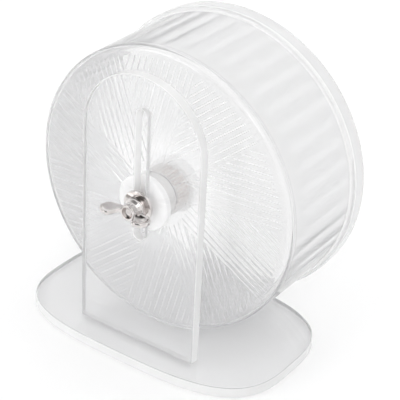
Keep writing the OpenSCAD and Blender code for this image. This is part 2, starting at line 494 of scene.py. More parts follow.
class Board(Nodes):
    """A material's nodes, round one Principled shader."""

    CLOUD_LOW = 0.3
    CLOUD_HIGH = 0.7

    def __init__(self, name: str) -> None:
        """Starts a material that reads Object coordinates.

        Args:
            name: The material's name.
        """
        self.material = bpy.data.materials.new(name)
        self.material.use_nodes = True
        super().__init__(self.material.node_tree)
        self.shader = self.add("ShaderNodeBsdfPrincipled")
        self.output = self.add("ShaderNodeOutputMaterial", {"Surface": self.shader.outputs["BSDF"]})
        self.place = self.add("ShaderNodeTexCoord").outputs["Object"]

    def wear(self, feeds: Feeds) -> None:
        """Feeds the shader's own inputs."""
        for name, value in feeds.items():
            self.feed(self.shader.inputs[name], value)

    def noise(self, scale: float, detail: float) -> Socket:
        """Adds cloudy variation, with so many clouds in a metre and octaves of finer ones."""
        feeds = {"Vector": self.place, "Scale": scale, "Detail": detail}
        return self.add("ShaderNodeTexNoise", feeds).outputs["Fac"]

    def between(self, source: Socket, low: float, high: float) -> Socket:
        """Maps cloudy variation to a range of values.

        Args:
            source: The variation.
            low: The value where it is thin.
            high: The value where it is dense.

        Returns:
            The mapped value.
        """
        feeds = {"Value": source, "From Min": self.CLOUD_LOW, "From Max": self.CLOUD_HIGH}
        feeds |= {"To Min": low, "To Max": high}
        return self.add("ShaderNodeMapRange", feeds).outputs["Result"]

    def shades(self, source: Socket, dark: Colour, light: Colour) -> Socket:
        """Maps cloudy variation to colours between two shades.

        Args:
            source: The variation.
            dark: The shade where it is thin.
            light: The shade where it is dense.

        Returns:
            The colour.
        """
        node = self.add("ShaderNodeValToRGB", {"Fac": source})
        first, last = node.color_ramp.elements
        first.position, last.position = self.CLOUD_LOW, self.CLOUD_HIGH
        first.color, last.color = (*dark, 1.0), (*light, 1.0)
        return node.outputs["Color"]

    def along(self, axis: Axis) -> Socket:
        """Reads the place along an axis."""
        return self.add("ShaderNodeSeparateXYZ", {"Vector": self.place}).outputs[axis.value]

    def radius(self, axle: Axle) -> Socket:
        """Reads the distance from the axle.

        Args:
            axle: The axle.

        Returns:
            The distance.
        """
        feeds = {"Vector": self.place, "Location": (0.0, 0.0, -axle.height), "Scale": (1.0, 0.0, 1.0)}
        across = self.add("ShaderNodeMapping", feeds, vector_type="POINT").outputs["Vector"]
        return self.add("ShaderNodeVectorMath", {0: across}, operation="LENGTH").outputs["Value"]

    def band(self, source: Socket, start: float, end: float, fade: float) -> Socket:
        """Is 1 where a value lies from start to end, and fades to 0 over a width on either side."""
        low, high = self.ramp(source, start - fade, start), self.ramp(source, end + fade, end)
        return self.both(low, high)

    def mixed(self, share: Socket, value: Value, other: float) -> Socket:
        """Blends a value towards another one."""
        return self.add("ShaderNodeMix", {0: share, 2: value, 3: other}).outputs[0]

    def blended(self, share: Socket, colour: Socket, other: Colour) -> Socket:
        """Blends a colour towards another one."""
        feeds = {0: share, 6: colour, 7: (*other, 1.0)}
        return self.add("ShaderNodeMix", feeds, data_type="RGBA").outputs[2]

    def relief(self, source: Socket, height: float) -> None:
        """Gives the surface a fine relief of a real height."""
        feeds = {"Strength": 1.0, "Distance": height, "Height": source}
        self.wear({"Normal": self.add("ShaderNodeBump", feeds).outputs["Normal"]})


Mask = Callable[[Board], Socket]


@dataclass(frozen=True)
class Patch:
    """A stretch of clear skin with a tint, a roughness and a milkiness of its own."""

    colour: Colour
    roughness: float
    milk: float


@dataclass(frozen=True)
class ClearPlastic:
    """Clear plastic: a wavy, slightly milky skin with patches, and a tint that deepens inside."""

    name: str
    dark: Colour
    light: Colour
    milk: float
    smooth: float = 0.0
    hazy: float = 0.03
    wave_scale: float = 18.0
    wave_height: float = 0.00002
    depth_colour: Colour = (0.82, 0.84, 0.85)
    depth_density: float = 2.0
    bending: float = 1.49
    cloud_scale: float = 45.0
    smear_scale: float = 160.0

    def material(self, *patches: tuple[Mask, Patch]) -> bpy.types.Material:
        """Makes the material.

        Args:
            patches: Each patch after the rule that finds where it lies, from 0 to 1.

        Returns:
            The material.
        """
        board = Board(self.name)
        tint = board.shades(board.noise(self.cloud_scale, detail=3.0), self.dark, self.light)
        roughness = board.between(board.noise(self.smear_scale, detail=4.0), self.smooth, self.hazy)
        clear: Value = 1.0 - self.milk
        for mask, patch in patches:
            share = mask(board)
            tint = board.blended(share, tint, patch.colour)
            roughness = board.mixed(share, roughness, patch.roughness)
            clear = board.mixed(share, clear, 1.0 - patch.milk)
        board.wear({"Base Color": tint, "Roughness": roughness, "Transmission Weight": clear})
        board.wear({"IOR": self.bending})
        board.relief(board.noise(self.wave_scale, detail=1.0), self.wave_height)
        feeds = {"Color": (*self.depth_colour, 1.0), "Density": self.depth_density}
        depth = board.add("ShaderNodeVolumeAbsorption", feeds)
        board.feed(board.output.inputs["Volume"], depth.outputs["Volume"])
        return board.material


@dataclass(frozen=True)
class WhitePlastic:
    """White moulded plastic with a faint flow pattern and a satin skin."""

    name: str = "white_moulding"
    dark: Colour = (0.955, 0.954, 0.952)
    light: Colour = (0.975, 0.975, 0.973)
    glossy: float = 0.24
    satin: float = 0.42
    flow_scale: float = 120.0
    skin_scale: float = 2600.0
    skin_height: float = 0.00001

    def material(self) -> bpy.types.Material:
        """Makes the material.

        Returns:
            The material.
        """
        board = Board(self.name)
        flow = board.noise(self.flow_scale, detail=3.0)
        roughness = board.between(flow, self.glossy, self.satin)
        board.wear({"Base Color": board.shades(flow, self.dark, self.light), "Roughness": roughness})
        board.relief(board.noise(self.skin_scale, detail=2.0), self.skin_height)
        return board.material


@dataclass(frozen=True)
class Metal:
    """Metal with a stained tone, uneven gloss and a fine grain."""

    name: str
    dark: Colour
    light: Colour
    polished: float
    dull: float
    stain_scale: float
    grain_scale: float
    grain_height: float

    def material(self) -> bpy.types.Material:
        """Makes the material.

        Returns:
            The material.
        """
        board = Board(self.name)
        stains = board.noise(self.stain_scale, detail=4.0)
        return self.plated(board, stains, stains, board.noise(self.grain_scale, detail=2.0))

    def plated(self, board: Board, stains: Socket, gloss: Socket, grain: Socket) -> bpy.types.Material:
        """Gives the material its tone, gloss and grain.

        Args:
            board: The material's nodes.
            stains: Variation of the tone.
            gloss: Variation of the gloss.
            grain: Height of the grain.

        Returns:
            The material.
        """
        roughness = board.between(gloss, self.dull, self.polished)
        board.wear({"Base Color": board.shades(stains, self.dark, self.light), "Roughness": roughness})
        board.wear({"Metallic": 1.0})
        board.relief(grain, self.grain_height)
        return board.material


@dataclass(frozen=True)
class TurnedMetal(Metal):
    """Metal whose grain is lathe marks that run round the axle."""

    axle: Axle

    def material(self) -> bpy.types.Material:
        """Makes the material.

        Returns:
            The material.
        """
        board = Board(self.name)
        feeds = {"W": board.radius(self.axle), "Scale": self.grain_scale, "Detail": 2.0}
        marks = board.add("ShaderNodeTexNoise", feeds, noise_dimensions="1D").outputs["Fac"]
        return self.plated(board, board.noise(self.stain_scale, detail=3.0), marks, marks)


def hand_over(piece: Piece, material: bpy.types.Material, body: Body, slot: Slot, *nodes: str) -> None:
    """Dresses a finished piece, seats it on its body and lets it stand for nodes of the frame.

    Args:
        piece: The finished piece.
        material: Its finish.
        body: The body that it moves with.
        slot: The record's slot for its finish; not used.
        nodes: The nodes that it stands for.
    """
    piece.data.materials.clear()
    piece.data.materials.append(material)
    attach(piece, body.value)
    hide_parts(*nodes)
    log.info("%s: %d faces on %s", piece.name, len(piece.data.polygons), body.value)


@dataclass
class Stand:
    """Two clear sheets: a base plate with a soft square outline, and a slotted upright bonded to it."""

    axle: Axle
    squareness: float = 3.2
    outline_points: int = 360
    polish: float = 0.0006
    polish_steps: int = 4
    slot_width: float = 0.007
    slot_up: float = 0.0525
    slot_down: float = 0.0175
    arc_steps: int = 72
    slot_steps: int = 24
    bond: float = 0.00004
    base: Extent = field(init=False)
    upright: Extent = field(init=False)
    # Painted shade: the base plate is tinted darker than the upright, though both are one acrylic, for the
    # shade under a plate that lies on the floor.
    shaded_base_finish: ClearPlastic = ClearPlastic(
        "clear_cast_base_shaded", (0.918, 0.918, 0.921), (0.938, 0.938, 0.941), milk=0.04, hazy=0.02
    )
    # The base plate's sawn edges are frosted, and also painted paler than the sheet as a highlight along
    # them.
    base_edge_frost_and_sheen: Patch = Patch((0.985, 0.985, 0.985), roughness=0.2, milk=0.72)
    upright_finish: ClearPlastic = ClearPlastic(
        "clear_cast_upright",
        (0.975, 0.975, 0.98),
        (0.99, 0.99, 0.992),
        milk=0.1,
        hazy=0.02,
        depth_density=1.0,
    )
    # The upright's sawn edges are frosted, and also painted paler than the sheet as a highlight along them.
    upright_edge_frost_and_sheen: Patch = Patch((0.985, 0.985, 0.986), roughness=0.2, milk=0.68)
    # Painted light: the slot's faces are whiter and milkier than the other edges, lifting the shade inside
    # the slot.
    slot_painted_light: Patch = Patch((0.992, 0.992, 0.992), roughness=0.2, milk=0.8)

    def __post_init__(self) -> None:
        """Reads both sheets' corners from the frame."""
        self.base, self.upright = Extent.of("base_plate"), Extent.of("upright_plate")

    def bulge(self, share: float) -> float:
        """Finds one coordinate of the outline, as a share of its half width, from a cosine or sine."""
        return math.copysign(abs(share) ** (2.0 / self.squareness), share)

    def base_sheet(self) -> Piece:
        """Models the base plate from a flat disc that is drawn out to its outline.

        Returns:
            The base plate.
        """
        low, high = self.base.low, self.base.high
        Workbench.lay_down_all()
        bpy.ops.mesh.primitive_circle_add(
            vertices=self.outline_points, radius=1.0, fill_type="NGON", location=(0.0, 0.0, low.z)
        )
        piece = Workbench.name_new("base_sheet")
        Workbench.shift(
            piece,
            lambda place: Vector((high.x * self.bulge(place.x), high.y * self.bulge(place.y), place.z)),
        )
        Workbench.open_up()
        Workbench.pick_all()
        Workbench.extrude(Vector((0.0, 0.0, high.z - low.z)))
        Workbench.close_mesh(piece)
        return Workbench.round_edges(piece, self.polish, self.polish_steps)

    def upright_sheet(self) -> Piece:
        """Models the upright as a plate with a round top and a long slot.

        Returns:
            The upright.
        """
        low, high, half = self.upright.low, self.upright.high, self.upright.radius
        foot = low.z + self.bond
        slot_radius = self.slot_width / 2.0
        slot_top, slot_end = self.axle.height + self.slot_up, self.axle.height - self.slot_down
        edge = [(-half, foot), (half, foot)]
        edge += arc((0.0, high.z - half), half, 0.0, 180.0, self.arc_steps)
        slot = arc((0.0, slot_top), slot_radius, 0.0, 180.0, self.slot_steps)
        slot += arc((0.0, slot_end), slot_radius, 180.0, 360.0, self.slot_steps)
        outlines = [[Vector((x, low.y, z)) for x, z in line] for line in (edge, slot)]
        piece = Workbench.plate("upright_sheet", outlines, Vector((0.0, high.y - low.y, 0.0)))
        return Workbench.round_edges(
            piece, self.polish, self.polish_steps, lambda middle: middle.z > foot + self.polish
        )

    def sawn(self, board: Board, axis: Axis, low: float, high: float) -> Socket:
        """Finds a sheet's sawn edges, between its two faces."""
        near = self.polish / 3.0
        return board.band(board.along(axis), low + near, high - near, near)

    def base_sides(self, board: Board) -> Socket:
        """Finds the sawn edges of the base plate."""
        return self.sawn(board, Axis.Z, self.base.low.z, self.base.high.z)

    def upright_sides(self, board: Board) -> Socket:
        """Finds the sawn edges of the upright."""
        return self.sawn(board, Axis.Y, self.upright.low.y, self.upright.high.y)

    def slot_sides(self, board: Board) -> Socket:
        """Finds the sawn edges of the slot.

        Args:
            board: The material's nodes.

        Returns:
            A value from 0 to 1.
        """
        half = self.slot_width / 2.0 + self.polish
        bottom = self.axle.height - self.slot_down - self.slot_width
        top = self.axle.height + self.slot_up + self.slot_width
        across = board.band(board.along(Axis.X), -half, half, self.polish)
        upward = board.band(board.along(Axis.Z), bottom, top, self.polish)
        return board.both(self.upright_sides(board), board.both(across, upward))

    def dress(self) -> None:
        """Builds and dresses the stand."""
        base = self.shaded_base_finish.material((self.base_sides, self.base_edge_frost_and_sheen))
        upright = self.upright_finish.material(
            (self.upright_sides, self.upright_edge_frost_and_sheen), (self.slot_sides, self.slot_painted_light)
        )
        hand_over(self.base_sheet(), base, Body.STAND, Slot.SHEET, "base_plate")
        hand_over(self.upright_sheet(), upright, Body.STAND, Slot.SHEET, "upright_plate")


@dataclass
class Drum:
    """The clear moulded drum: a ridged disc, a round edge, a ribbed wall and a stepped lip."""

    axle: Axle
    steps: int = 720
    wall: float = 0.002
    disc: float = 0.0025
    edge: float = 0.0035
    lip_out: float = 0.0025
    lip_width: float = 0.010
    hole_radius: float = 0.01206
    corner_steps: int = 8
    rib_count: int = 45
    rib_height: float = 0.0002
    rib_power: float = 1.5
    rib_fade_in: float = 0.016
    rib_fade_out: float = 0.0015
    rib_fade_steps: int = 5
    sector_count: int = 10
    sector_turn: float = 3.5
    ridge_pitch: float = 0.00355
    ridge_width: float = 0.0014
    ridge_height: float = 0.00025
    ridge_inside: float = 0.0185
    ridge_outside: float = 0.0772
    ridge_margin: float = 0.0006
    smooth_angle: float = 20.0
    window_fade: float = 0.035
    face: float = field(init=False)
    rim_end: float = field(init=False)
    rim: float = field(init=False)
    outer: float = field(init=False)
    inner: float = field(init=False)
    lip_start: float = field(init=False)
    rib_foot: float = field(init=False)
    rib_top: float = field(init=False)
    finish: ClearPlastic = ClearPlastic(
        "clear_moulded_drum",
        (0.855, 0.855, 0.86),
        (0.875, 0.875, 0.879),
        milk=0.2,
        wave_scale=55.0,
        wave_height=0.00005,
    )
    clearest: Patch = Patch((0.99, 0.99, 0.991), roughness=0.01, milk=0.12)
    cloudy: Patch = Patch((0.87, 0.87, 0.874), roughness=0.03, milk=0.38)
    # Painted highlight: the disc's round edge is paler and milkier, as a bright band along it.
    rim_highlight: Patch = Patch((0.93, 0.93, 0.932), roughness=0.1, milk=0.2)
    # Painted reflection: the tops of the ribs inside the wall are paler, as pale streaks along each rib.
    rib_top_sheen: Patch = Patch((0.93, 0.93, 0.933), roughness=0.02, milk=0.27)
    # Painted highlight: the ridges' crests are paler and milkier, as bright lines along them.
    crest_highlight: Patch = Patch((0.955, 0.955, 0.956), roughness=0.16, milk=0.33)
    # Painted highlight: both edges of the lip are near white and milky, as bright lines along them.
    lip_highlight: Patch = Patch((0.99, 0.99, 0.99), roughness=0.12, milk=0.5)

    def __post_init__(self) -> None:
        """Works out the section's main sizes from the node of the frame."""
        node = Extent.of("wheel_drum")
        self.face, self.rim_end, self.rim = node.low.y, node.high.y, node.radius
        self.outer = self.rim - self.lip_out
        self.inner = self.outer - self.wall
        self.lip_start = self.rim_end - self.lip_width
        self.rib_foot = self.face + self.disc + self.edge - self.wall
        self.rib_top = self.lip_start + self.wall - self.wall / 4.0

    def shell_outline(self) -> list[Point]:
        """Draws the drum's section, from the outer end of the ridges round to their inner end.

        Returns:
            Points of radius and place along the axle.
        """
        inside_face = self.face + self.disc
        lip_inner = self.rim - self.wall
        soft, small, lip_round = self.wall / 3.0, self.wall / 4.0, self.lip_out / 2.0
        inner_edge = self.edge - self.wall
        steps = self.corner_steps
        hole = self.hole_radius
        shares = [step / self.rib_fade_steps for step in range(1, self.rib_fade_steps + 1)]
        line = [(self.ridge_outside, self.face)]
        line += arc((self.outer - self.edge, self.face + self.edge), self.edge, -90.0, 0.0, steps)
        line += arc((self.outer + lip_round, self.lip_start - lip_round), lip_round, 180.0, 90.0, steps)
        line += arc((self.rim - lip_round, self.lip_start + lip_round), lip_round, -90.0, 0.0, steps)
        line += arc((self.rim - soft, self.rim_end - soft), soft, 0.0, 90.0, steps)
        line += arc((lip_inner + soft, self.rim_end - soft), soft, 90.0, 180.0, steps)
        line += arc((lip_inner - small, self.lip_start + self.wall + small), small, 0.0, -90.0, steps // 2)
        line += arc((self.inner + small, self.rib_top), small, 90.0, 180.0, steps // 2)
        line += [(self.inner, self.rib_top - self.rib_fade_out * share) for share in shares]
        line += [(self.inner, self.rib_foot + self.rib_fade_in * share) for share in reversed(shares)]
        line += arc((self.inner - inner_edge, self.rib_foot), inner_edge, 0.0, -90.0, steps)
        line += [(hole + small, inside_face), (hole, inside_face - small)]
        line += [(hole, self.face + small), (hole + small, self.face), (self.ridge_inside, self.face)]
        return line

    def ribbed(self, place: Vector) -> Vector:
        """Moves a point of the inner wall in, where a running rib stands.

        Args:
            place: A point of the shell.

        Returns:
            Its new place.
        """
        radius, along, turn = self.axle.polar(place)
        if abs(radius - self.inner) > MERGE_DISTANCE or not self.rib_foot < along < self.rib_top:
            return place
        swell = (0.5 + 0.5 * math.cos(turn * self.rib_count)) ** self.rib_power
        fade_in = ease((along - self.rib_foot) / self.rib_fade_in)
        fade_out = ease((self.rib_top - along) / self.rib_fade_out)
        return self.axle.point(radius - self.rib_height * swell * fade_in * fade_out, along, turn)

    def ridged_sectors(self) -> Piece:
        """Models one flat sector of the disc's face, raises its cut strips and copies it round.

        Returns:
            The disc's front face.
        """
        start = math.radians(self.sector_turn)
        sweep = math.tau / self.sector_count
        radii = (self.ridge_inside, self.ridge_outside)
        ends = [self.axle.point(radius, self.face, start) for radius in radii]
        piece = Workbench.draw("disc_ridges", ends)
        Workbench.spin(self.axle, self.steps // self.sector_count, sweep)
        Workbench.pick_all()
        bpy.ops.mesh.dissolve_faces()
        Workbench.pick_all()
        bpy.ops.mesh.inset(thickness=self.ridge_margin, depth=0.0)
        mesh = bmesh.from_edit_mesh(piece.data)
        for flat in mesh.faces:
            flat.material_index = int(flat.select)
        across = Vector((-math.sin(start), 0.0, math.cos(start)))
        origin = self.axle.point(0.0, self.face)
        count = int(self.ridge_outside * math.sin(sweep) / self.ridge_pitch)
        crests = [self.ridge_pitch * (number + 0.5) for number in range(count)]
        for crest in crests:
            for offset in (-self.ridge_width / 2.0, 0.0, self.ridge_width / 2.0):
                self.cut_sector(piece, origin + across * (crest + offset), across)
        self.raise_crests(piece, origin, across, crests)
        Workbench.pick_all()
        copies = self.sector_count - 1
        Workbench.spin(self.axle, copies, sweep * copies, copies=True)
        mesh = bmesh.from_edit_mesh(piece.data)
        for flat in mesh.faces:
            flat.material_index = 0
        bmesh.update_edit_mesh(piece.data)
        Workbench.put_down()
        return piece

    @staticmethod
    def cut_sector(piece: Piece, place: Vector, across: Vector) -> None:
        """Cuts the inset faces of a sector along a straight line.

        Args:
            piece: The sector, in edit mode, with its inset faces marked.
            place: A point on the line.
            across: The way across the line.
        """
        Workbench.pick_none(Pick.FACES)
        mesh = bmesh.from_edit_mesh(piece.data)
        for flat in mesh.faces:
            flat.select_set(flat.material_index == 1)
        bmesh.update_edit_mesh(piece.data)
        bpy.ops.mesh.bisect(plane_co=place, plane_no=across, threshold=MERGE_DISTANCE)

    def raise_crests(self, piece: Piece, origin: Vector, across: Vector, crests: Sequence[float]) -> None:
        """Lifts the middle line of each ridge off the disc's face.

        Args:
            piece: The cut sector, in edit mode, with its inset faces marked.
            origin: The middle of the disc.
            across: The way across the ridges.
            crests: How far each ridge's middle lies from the origin.
        """
        Workbench.pick_none(Pick.POINTS)
        mesh = bmesh.from_edit_mesh(piece.data)
        for vertex in mesh.verts:
            inside = any(flat.material_index == 1 for flat in vertex.link_faces)
            distance = (vertex.co - origin).dot(across)
            on_crest = min(abs(distance - crest) for crest in crests) < 2.0 * MERGE_DISTANCE
            vertex.select_set(inside and on_crest)
        bmesh.update_edit_mesh(piece.data)
        bpy.ops.transform.translate(value=(0.0, -self.ridge_height, 0.0))

    def ridged_drum(self) -> Piece:
        """Turns the shell, raises its ribs and closes its disc with the ridged sectors.

        Returns:
            The drum.
        """
        shell = Workbench.draw("drum_shell", self.axle.outline(self.shell_outline()))
        Workbench.spin(self.axle, self.steps)
        Workbench.put_down()
        Workbench.shift(shell, self.ribbed)
        piece = Workbench.join("ridged_drum", [shell, self.ridged_sectors()])
        return Workbench.close_mesh(piece, self.smooth_angle)

    def crests(self, board: Board) -> Socket:
        """Finds the ridges' crests."""
        return board.ramp(board.along(Axis.Y), self.face, self.face - self.ridge_height)

    def lip_edges(self, board: Board) -> Socket:
        """Finds both edges of the lip.

        Args:
            board: The material's nodes.

        Returns:
            A value from 0 to 1.
        """
        along = board.along(Axis.Y)
        low, high = self.lip_start - self.lip_out / 4.0, self.lip_start + self.lip_out / 2.0
        step = board.band(along, low, high, self.edge / 4.0)
        return board.either(step, board.ramp(along, self.rim_end - self.wall, self.rim_end))

    def rib_tops(self, board: Board) -> Socket:
        """Finds the tops of the running ribs inside the wall.

        Args:
            board: The material's nodes.

        Returns:
            A value from 0 to 1.
        """
        foot, top = self.inner - self.rib_height / 4.0, self.inner - self.rib_height
        tops = board.ramp(board.radius(self.axle), foot, top)
        return board.both(tops, board.ramp(board.along(Axis.Y), self.rib_foot, self.rib_foot + self.edge))

    def wall_skin(self, board: Board) -> Socket:
        """Finds the wall, behind the disc's round edge."""
        return board.ramp(board.along(Axis.Y), self.face + self.edge, self.face + 2.0 * self.edge)

    def disc_edge(self, board: Board) -> Socket:
        """Finds the disc's round edge.

        Args:
            board: The material's nodes.

        Returns:
            A value from 0 to 1.
        """
        half = self.edge / 2.0
        outward = board.ramp(board.radius(self.axle), self.outer - self.edge, self.outer - half)
        return board.both(outward, board.ramp(board.along(Axis.Y), self.face + self.edge, self.face + half))

    def window(self, board: Board) -> Socket:
        """Finds the plain middle of the disc, which lies over the cap."""
        cap = Extent.of("hub_cap").radius
        return board.ramp(board.radius(self.axle), cap + self.window_fade, cap + self.edge)

    def dress(self) -> None:
        """Builds and dresses the drum."""
        plastic = self.finish.material(
            (self.window, self.clearest),
            (self.wall_skin, self.cloudy),
            (self.disc_edge, self.rim_highlight),
            (self.rib_tops, self.rib_top_sheen),
            (self.crests, self.crest_highlight),
            (self.lip_edges, self.lip_highlight),
        )
        hand_over(self.ridged_drum(), plastic, Body.WHEEL, Slot.MOULDING, "wheel_drum")


@dataclass
class Hub:
    """The clear toothed sleeve round the bearings, with a white cap behind and a white flange in front."""

    axle: Axle
    steps: int = 480
    white_steps: int = 240
    collar_teeth: int = 40
    collar_width: float = 0.010
    collar_gap: float = 0.00005
    tooth_height: float = 0.0016
    wall: float = 0.0025
    step_height: float = 0.0015
    edge: float = 0.0003
    corner_steps: int = 6
    cap_wall: float = 0.0025
    cap_round: float = 0.0025 / 1.5
    cap_dish: float = 0.0007
    cap_rim: float = 0.0035
    spigot_wall: float = 0.0022
    seat_gap: float = 0.00005
    hole_gap: float = 0.00002
    flange_gap: float = 0.0006
    flange_round: float = 0.001
    nose_radius: float = 0.00482
    bore_radius: float = 0.00303
    sleeve: Extent = field(init=False)
    seat: float = field(init=False)
    outside: float = field(init=False)
    disc_back: float = field(init=False)
    clear: ClearPlastic = ClearPlastic(
        "clear_moulded_hub",
        (0.97, 0.955, 0.95),
        (0.99, 0.982, 0.98),
        milk=0.65,
        wave_scale=180.0,
        wave_height=0.00003,
        depth_colour=(0.8, 0.72, 0.68),
        depth_density=4.0,
    )
    # Painted shade: the gaps between the collar's teeth are dark brown and milky.
    gap_shade: Patch = Patch((0.56, 0.43, 0.37), roughness=0.3, milk=0.95)
    white: WhitePlastic = WhitePlastic()

    def __post_init__(self) -> None:
        """Works out the sleeve's main sizes from the nodes of the frame."""
        self.sleeve = Extent.of("hub_sleeve")
        self.seat = Extent.of("front_outer_ring").radius + self.seat_gap
        self.outside = self.seat + self.wall - self.hole_gap
        self.disc_back = Extent.of("wheel_drum").low.y + Drum.disc

    def sleeve_outline(self) -> list[Point]:
        """Draws the sleeve's section, with a seat for a bearing at each end.

        Returns:
            Points of radius and place along the axle.
        """
        front, back = self.sleeve.low.y, self.sleeve.high.y - self.collar_gap
        front_stop = Extent.of("front_outer_ring").high.y
        rear_stop = Extent.of("rear_outer_ring").low.y
        seat, outside = self.seat, self.outside
        step = seat - self.step_height
        collar = outside + self.tooth_height
        start, end = self.disc_back + self.collar_gap, self.disc_back + self.collar_width
        e = self.edge
        line = [(seat + e, front), (outside - e, front), (outside, front + e), (outside, start)]
        line += [(collar - e, start), (collar, start + e), (collar, end - e), (collar - e, end)]
        line += [(outside, end), (outside, back - e), (outside - e, back), (seat + e, back)]
        line += [(seat, back - e), (seat, rear_stop), (step, rear_stop), (step, front_stop)]
        return line + [(seat, front_stop), (seat, front + e), (seat + e, front)]

    def toothed(self, place: Vector) -> Vector:
        """Moves a point of the collar in, where a gap between two teeth lies.

        Args:
            place: A point of the sleeve.

        Returns:
            Its new place.
        """
        radius, along, turn = self.axle.polar(place)
        if radius < self.outside + SPECK:
            return place
        pitch = math.tau / self.collar_teeth
        share = abs(math.remainder(turn, pitch)) / (pitch / 2.0)
        depth = (radius - self.outside) / 2.0
        return self.axle.point(radius - depth * ease(share), along, turn)

    def toothed_sleeve(self) -> Piece:
        """Turns the sleeve and forms the teeth of its collar.

        Returns:
            The sleeve.
        """
        piece = Workbench.turned("toothed_sleeve", self.axle, self.sleeve_outline(), self.steps)
        Workbench.shift(piece, self.toothed)
        return Workbench.close_mesh(piece)

    def white_cap(self) -> Piece:
        """Turns the cap, with a spigot in front and a shallow dish in its back.

        Returns:
            The cap.
        """
        cap = Extent.of("hub_cap")
        radius, spigot_end, back = cap.radius, cap.low.y, cap.high.y
        shoulder = self.sleeve.high.y + self.seat_gap
        spigot = Extent.of("rear_outer_ring").radius - self.seat_gap
        cavity = spigot - self.spigot_wall
        roof = back - self.cap_wall
        soft = self.cap_round
        steps = self.corner_steps
        line = [(0.0, roof), (cavity, roof), (cavity, spigot_end)]
        line += [(spigot - self.edge, spigot_end), (spigot, spigot_end + self.edge), (spigot, shoulder)]
        line += arc((radius - soft, shoulder + soft), soft, -90.0, 0.0, steps)
        line += arc((radius - soft, back - soft), soft, 0.0, 90.0, steps)
        line += arc((radius - self.cap_rim, back - self.cap_dish), self.cap_dish, 90.0, 180.0, steps)
        line += [(0.0, back - self.cap_dish)]
        return Workbench.turned("white_cap", self.axle, line, self.white_steps)

    def white_flange(self) -> Piece:
        """Turns the flange, with a nose that meets the front bearing.

        Returns:
            The flange.
        """
        flange = Extent.of("flange_spacer")
        front, nose_end, radius = flange.low.y, flange.high.y, flange.radius
        back = self.sleeve.low.y - self.flange_gap
        soft = self.flange_round
        line = [(self.bore_radius, front)]
        line += arc((radius - soft, front + soft), soft, -90.0, 0.0, self.corner_steps)
        line += arc((radius - soft, back - soft), soft, 0.0, 90.0, self.corner_steps)
        line += [(self.nose_radius + self.edge, back), (self.nose_radius, back + self.edge)]
        line += [(self.nose_radius, nose_end), (self.bore_radius, nose_end), (self.bore_radius, front)]
        return Workbench.turned("white_flange", self.axle, line, self.white_steps)

    def tooth_gaps(self, board: Board) -> Socket:
        """Finds the gaps between the collar's teeth, where shade is painted.

        Args:
            board: The material's nodes.

        Returns:
            A value from 0 to 1.
        """
        bottom = self.outside + self.tooth_height / 2.0
        deep = board.ramp(board.radius(self.axle), bottom + self.tooth_height / 4.0, bottom)
        start, end = self.disc_back + self.edge, self.disc_back + self.collar_width - self.edge
        return board.both(deep, board.band(board.along(Axis.Y), start, end, self.edge))

    def dress(self) -> None:
        """Builds and dresses the hub."""
        white = self.white.material()
        clear = self.clear.material((self.tooth_gaps, self.gap_shade))
        hand_over(self.toothed_sleeve(), clear, Body.WHEEL, Slot.MOULDING, "hub_sleeve")
        hand_over(self.white_cap(), white, Body.WHEEL, Slot.WHITE, "hub_cap")
        hand_over(self.white_flange(), white, Body.AXLE, Slot.WHITE, "flange_spacer")


@dataclass
class Bearings:
    """The two ball bearings and the steel rings between them, kept as the frame has them."""

    axle: Axle
    nodes: dict[str, Piece]
    ring_words: tuple[str, ...] = ("ring", "shield")
    ball: Metal = Metal(
        name="polished_balls",
        dark=(0.62, 0.62, 0.63),
        light=(0.76, 0.76, 0.77),
        polished=0.05,
        dull=0.12,
        stain_scale=300.0,
        grain_scale=4000.0,
        grain_height=0.000001,
    )
    brass: Metal = Metal(
        name="pressed_brass",
        dark=(0.6, 0.42, 0.2),
        light=(0.78, 0.58, 0.3),
        polished=0.18,
        dull=0.38,
        stain_scale=260.0,
        grain_scale=3500.0,
        grain_height=0.000003,
    )

    def steel(self) -> TurnedMetal:
        """Chooses the finish of the rings and shields, with lathe marks round the axle."""
        return TurnedMetal(
            name="ground_steel",
            dark=(0.7, 0.68, 0.66),
            light=(0.82, 0.8, 0.79),
            polished=0.12,
            dull=0.3,
            stain_scale=220.0,
            grain_scale=9000.0,
            grain_height=0.000002,
            axle=self.axle,
        )

    def dress(self) -> None:
        """Gives each bearing piece of the frame its finish."""
        steel, ball, brass = self.steel().material(), self.ball.material(), self.brass.material()
        for name, node in sorted(self.nodes.items()):
            if name.endswith("balls"):
                material = ball
            elif name.endswith("cage"):
                material = brass
            elif any(word in name for word in self.ring_words):
                material = steel
            else:
                continue
            node.data.materials.clear()
            node.data.materials.append(material)
            log.info("%s: kept, in %s", name, material.name)


